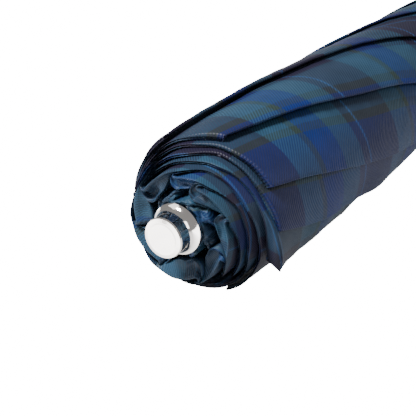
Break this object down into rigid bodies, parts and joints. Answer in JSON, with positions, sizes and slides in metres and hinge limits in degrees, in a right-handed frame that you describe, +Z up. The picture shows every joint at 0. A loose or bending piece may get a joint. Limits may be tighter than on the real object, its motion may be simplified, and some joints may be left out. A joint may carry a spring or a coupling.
{
  "type": "folding umbrella",
  "caption": "Compact telescoping umbrella, closed and furled, with a rolled check-cloth canopy, plated finial, folded rib frame, strap and push-button handle.",
  "frame": {"origin": "centre of the finial's flat front face", "axes": "+X along the shaft from the finial to the handle, +Z up with the umbrella lying on its side"},
  "size_m": [0.386, 0.06, 0.0578],
  "materials": {
    "polished_nickel": "bright polished plate",
    "blackened_metal": "satin black",
    "tube_steel": "drawn, satin",
    "black_plastic": "fine matt",
    "rib_metal": "satin black",
    "tip_nickel": "plated",
    "canopy_cloth": "dark check twill",
    "handle_wood": "sealed beech",
    "grip_leather": "smooth, dark navy",
    "button_metal": "satin plated",
    "spring_steel": "bright wire"
  },
  "bodies": {
    "rolled_top": {"canopy": "canopy_cloth", "closure_strap": "canopy_cloth", "crown": "black_plastic", "crown_wire": "blackened_metal", "finial": "polished_nickel", "finial_washer": "blackened_metal", "knee_brackets": "rib_metal", "link_wires": "rib_metal", "middle_rib_1": "rib_metal", "middle_rib_2": "rib_metal", "middle_rib_3": "rib_metal", "middle_rib_4": "rib_metal", "middle_rib_5": "rib_metal", "middle_rib_6": "rib_metal", "middle_rib_7": "rib_metal", "middle_rib_8": "rib_metal", "outer_bush": "black_plastic", "outer_ribs": "rib_metal", "outer_tube": "tube_steel", "rib_rivets": "rib_metal", "rib_tips": "tip_nickel", "runner": "black_plastic", "runner_wire": "blackened_metal", "snap_stud": "tip_nickel", "stretcher_1": "rib_metal", "stretcher_2": "rib_metal", "stretcher_3": "rib_metal", "stretcher_4": "rib_metal", "stretcher_5": "rib_metal", "stretcher_6": "rib_metal", "stretcher_7": "rib_metal", "stretcher_8": "rib_metal", "top_rib_1": "rib_metal", "top_rib_2": "rib_metal", "top_rib_3": "rib_metal", "top_rib_4": "rib_metal", "top_rib_5": "rib_metal", "top_rib_6": "rib_metal", "top_rib_7": "rib_metal", "top_rib_8": "rib_metal", "tube_plug": "black_plastic"},
    "middle_stage": {"middle_tube": "tube_steel", "middle_glide": "black_plastic", "middle_bush": "black_plastic"},
    "handle": {"inner_tube": "tube_steel", "inner_glide": "black_plastic", "handle_core": "handle_wood", "handle_grip": "grip_leather", "handle_collar": "polished_nickel", "handle_cap": "polished_nickel", "button_well": "polished_nickel", "button_spring": "spring_steel"},
    "button": {"push_button": "button_metal"},
    "tab": {"strap_tab": "canopy_cloth", "snap_cap": "polished_nickel"}
  },
  "joints": [
    {"name": "middle_stage_slide", "type": "slide", "parent": "rolled_top", "child": "middle_stage", "axis": [1, 0, 0], "range_m": [0, 0.13]},
    {"name": "handle_slide", "type": "slide", "parent": "middle_stage", "child": "handle", "axis": [1, 0, 0], "range_m": [0, 0.13]},
    {"name": "button_press", "type": "slide", "parent": "handle", "child": "button", "axis": [0, 0, -1], "range_m": [0, 0.0015], "stiffness_N_per_m": 900, "springref_m": -0.0006, "deforming": ["button_spring"]},
    {"name": "strap_tab_lift", "type": "hinge", "parent": "rolled_top", "child": "tab", "pos_m": [0.262, 0.0056, 0.0264], "axis": [-1, 0, 0], "range_deg": [0, 70]}
  ]
}
